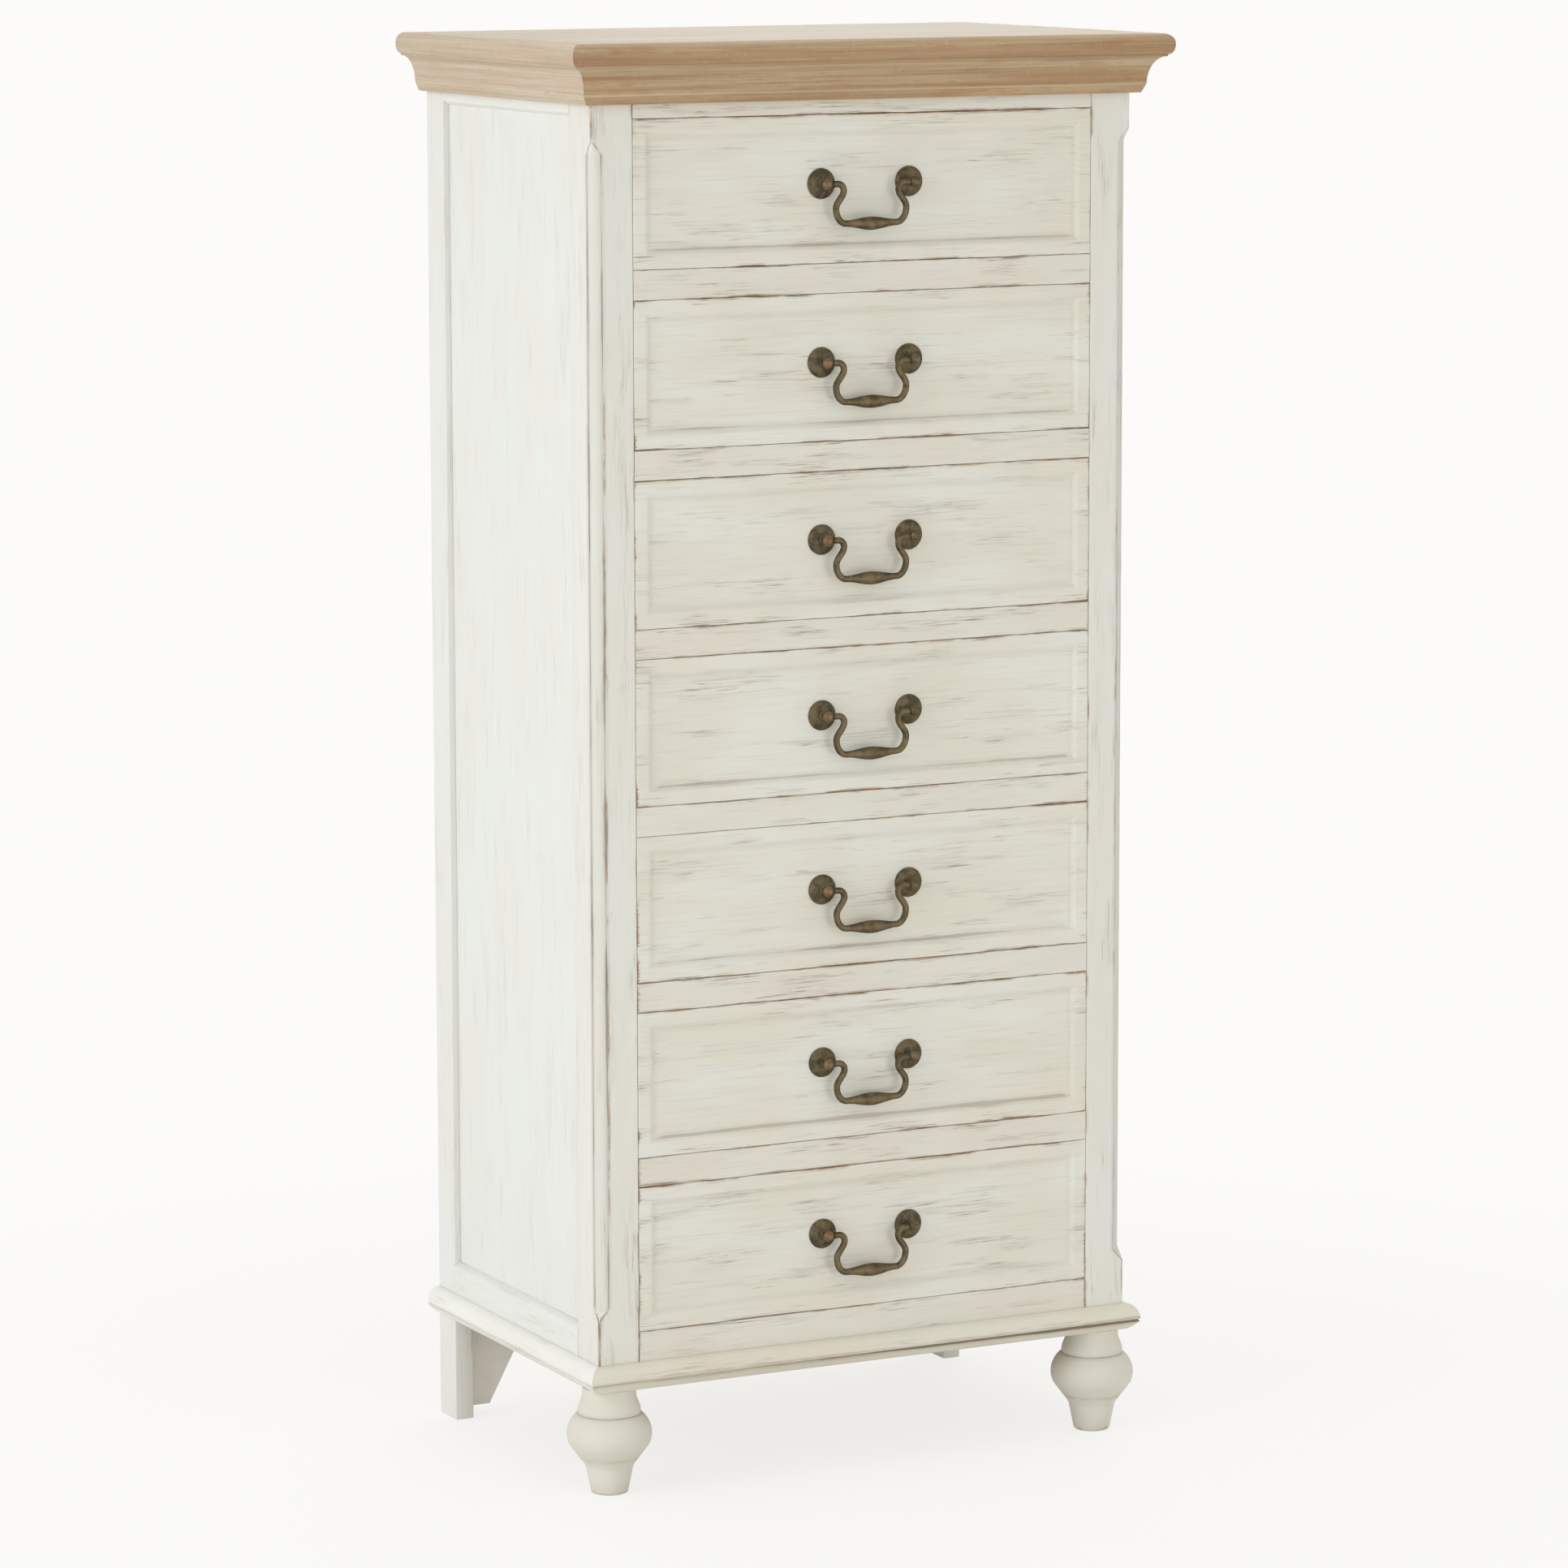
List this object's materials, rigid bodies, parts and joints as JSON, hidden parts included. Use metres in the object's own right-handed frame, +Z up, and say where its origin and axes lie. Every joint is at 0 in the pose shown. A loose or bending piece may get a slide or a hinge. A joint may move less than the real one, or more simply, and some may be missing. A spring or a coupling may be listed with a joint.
{
  "type": "tallboy chest of drawers",
  "caption": "Tall narrow chest of drawers with a moulded oak top, distressed painted case, turned front feet, plain rear legs and swinging brass bail handles.",
  "frame": {"origin": "on the floor, under the middle of the whole outline", "axes": "+Z up, the drawers open toward -Y, +X to the right seen from the front"},
  "size_m": [0.656, 0.423, 1.422],
  "materials": {
    "paint": "off-white paint, wire brushed and rubbed through to brown wood at edges and seams",
    "oak": "limed oak with a matt wax finish",
    "pine": "bare planed pine",
    "plywood": "unfinished plywood",
    "brass": "antique brass, browned and rubbed bright at the high spots"
  },
  "bodies": {
    "case": {"top_board": "oak", "cornice_front": "oak", "cornice_left": "oak", "cornice_right": "oak", "front_post_left": "paint", "front_post_right": "paint", "rear_post_left": "paint", "rear_post_right": "paint", "side_panel_left": "paint", "side_panel_right": "paint", "top_rail": "paint", "runner_frame_1": "paint", "runner_frame_2": "paint", "runner_frame_3": "paint", "runner_frame_4": "paint", "runner_frame_5": "paint", "runner_frame_6": "paint", "runner_frame_7": "paint", "back_panel": "plywood", "base_moulding_front": "paint", "base_moulding_left": "paint", "base_moulding_right": "paint", "foot_left": "paint", "foot_right": "paint", "rear_apron": "paint"},
    "drawer_1": {"drawer_front_1": "paint", "drawer_box_1": "pine", "handle_post_left_1": "brass", "handle_post_right_1": "brass"},
    "bail_1": {"bail_1": "brass"},
    "drawer_2": {"drawer_front_2": "paint", "drawer_box_2": "pine", "handle_post_left_2": "brass", "handle_post_right_2": "brass"},
    "bail_2": {"bail_2": "brass"},
    "drawer_3": {"drawer_front_3": "paint", "drawer_box_3": "pine", "handle_post_left_3": "brass", "handle_post_right_3": "brass"},
    "bail_3": {"bail_3": "brass"},
    "drawer_4": {"drawer_front_4": "paint", "drawer_box_4": "pine", "handle_post_left_4": "brass", "handle_post_right_4": "brass"},
    "bail_4": {"bail_4": "brass"},
    "drawer_5": {"drawer_front_5": "paint", "drawer_box_5": "pine", "handle_post_left_5": "brass", "handle_post_right_5": "brass"},
    "bail_5": {"bail_5": "brass"},
    "drawer_6": {"drawer_front_6": "paint", "drawer_box_6": "pine", "handle_post_left_6": "brass", "handle_post_right_6": "brass"},
    "bail_6": {"bail_6": "brass"},
    "drawer_7": {"drawer_front_7": "paint", "drawer_box_7": "pine", "handle_post_left_7": "brass", "handle_post_right_7": "brass"},
    "bail_7": {"bail_7": "brass"}
  },
  "joints": [
    {"name": "drawer_1_slide", "type": "slide", "parent": "case", "child": "drawer_1", "axis": [0, -1, 0], "range_m": [0, 0.28]},
    {"name": "bail_1_swing", "type": "hinge", "parent": "drawer_1", "child": "bail_1", "pos_m": [0, -0.1894, 1.2824], "axis": [-1, 0, 0], "range_deg": [0, 180]},
    {"name": "drawer_2_slide", "type": "slide", "parent": "case", "child": "drawer_2", "axis": [0, -1, 0], "range_m": [0, 0.28]},
    {"name": "bail_2_swing", "type": "hinge", "parent": "drawer_2", "child": "bail_2", "pos_m": [0, -0.1894, 1.1089], "axis": [-1, 0, 0], "range_deg": [0, 180]},
    {"name": "drawer_3_slide", "type": "slide", "parent": "case", "child": "drawer_3", "axis": [0, -1, 0], "range_m": [0, 0.28]},
    {"name": "bail_3_swing", "type": "hinge", "parent": "drawer_3", "child": "bail_3", "pos_m": [0, -0.1894, 0.9354], "axis": [-1, 0, 0], "range_deg": [0, 180]},
    {"name": "drawer_4_slide", "type": "slide", "parent": "case", "child": "drawer_4", "axis": [0, -1, 0], "range_m": [0, 0.28]},
    {"name": "bail_4_swing", "type": "hinge", "parent": "drawer_4", "child": "bail_4", "pos_m": [0, -0.1894, 0.7619], "axis": [-1, 0, 0], "range_deg": [0, 180]},
    {"name": "drawer_5_slide", "type": "slide", "parent": "case", "child": "drawer_5", "axis": [0, -1, 0], "range_m": [0, 0.28]},
    {"name": "bail_5_swing", "type": "hinge", "parent": "drawer_5", "child": "bail_5", "pos_m": [0, -0.1894, 0.5884], "axis": [-1, 0, 0], "range_deg": [0, 180]},
    {"name": "drawer_6_slide", "type": "slide", "parent": "case", "child": "drawer_6", "axis": [0, -1, 0], "range_m": [0, 0.28]},
    {"name": "bail_6_swing", "type": "hinge", "parent": "drawer_6", "child": "bail_6", "pos_m": [0, -0.1894, 0.4149], "axis": [-1, 0, 0], "range_deg": [0, 180]},
    {"name": "drawer_7_slide", "type": "slide", "parent": "case", "child": "drawer_7", "axis": [0, -1, 0], "range_m": [0, 0.28]},
    {"name": "bail_7_swing", "type": "hinge", "parent": "drawer_7", "child": "bail_7", "pos_m": [0, -0.1894, 0.2414], "axis": [-1, 0, 0], "range_deg": [0, 180]}
  ]
}
